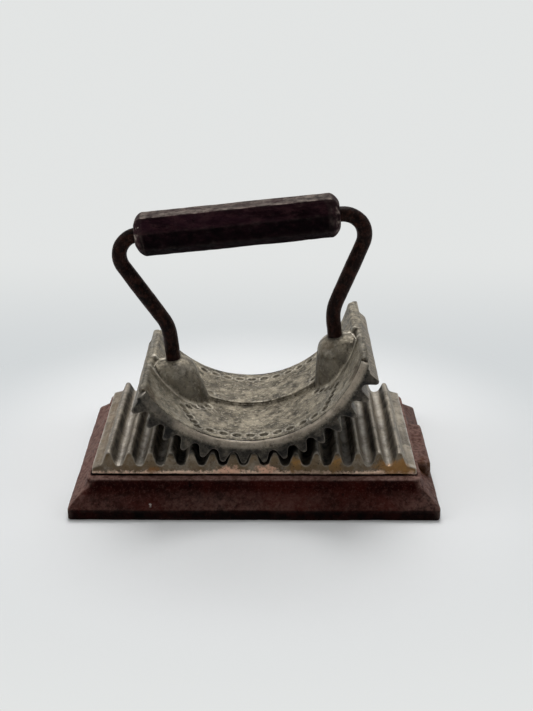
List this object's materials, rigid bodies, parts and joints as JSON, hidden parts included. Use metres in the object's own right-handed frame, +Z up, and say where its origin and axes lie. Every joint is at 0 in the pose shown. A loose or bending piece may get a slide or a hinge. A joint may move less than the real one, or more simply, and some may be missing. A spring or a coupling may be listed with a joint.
{
  "type": "fluting iron",
  "caption": "Hand fluting iron: a toothed cast rocker with a bent rod handle and faceted grip rolls on a ribbed iron plate that lies on a moulded base.",
  "frame": {"origin": "middle of the base's flat underside", "axes": "+X along the base to the right, +Z up, -Y towards the front, from where the picture was taken"},
  "size_m": [0.15, 0.0944, 0.1215],
  "materials": {
    "base_iron": "old dark brown japanning, worn at the edges",
    "plate_iron": "worn grey iron with bright crests and brown stains",
    "rocker_iron": "grainy grey casting with worn bright edges",
    "rod_iron": "black-brown oxide, satin",
    "grip_iron": "dark oxblood brown, worn smooth on top",
    "pin_steel": "plain dull steel"
  },
  "bodies": {
    "base": {"base": "base_iron", "locating_pin_left": "pin_steel", "locating_pin_right": "pin_steel"},
    "plate": {"fluted_plate": "plate_iron"},
    "carriage": {"rocking_strip": "pin_steel"},
    "rocker": {"rocker_shoe": "rocker_iron", "saddle": "rocker_iron", "dowel_left_front": "pin_steel", "dowel_left_back": "pin_steel", "dowel_right_front": "pin_steel", "dowel_right_back": "pin_steel", "handle_rod": "rod_iron", "grip": "grip_iron"}
  },
  "joints": [
    {"name": "plate_lift", "type": "slide", "parent": "base", "child": "plate", "axis": [0, 0, 1], "range_m": [0, 0.03]},
    {"name": "rocker_travel", "type": "slide", "parent": "plate", "child": "carriage", "axis": [1, 0, 0], "range_m": [-0.0431, 0.0578]},
    {"name": "rocker_roll", "type": "hinge", "parent": "carriage", "child": "rocker", "pos_m": [-0.00312, 0, 0.07469], "axis": [0, 1, 0], "range_deg": [-45.1, 60.4]}
  ],
  "couplings": [
    {"joint": "rocker_roll", "follows": "rocker_travel", "rad_per_m": 18.201}
  ]
}
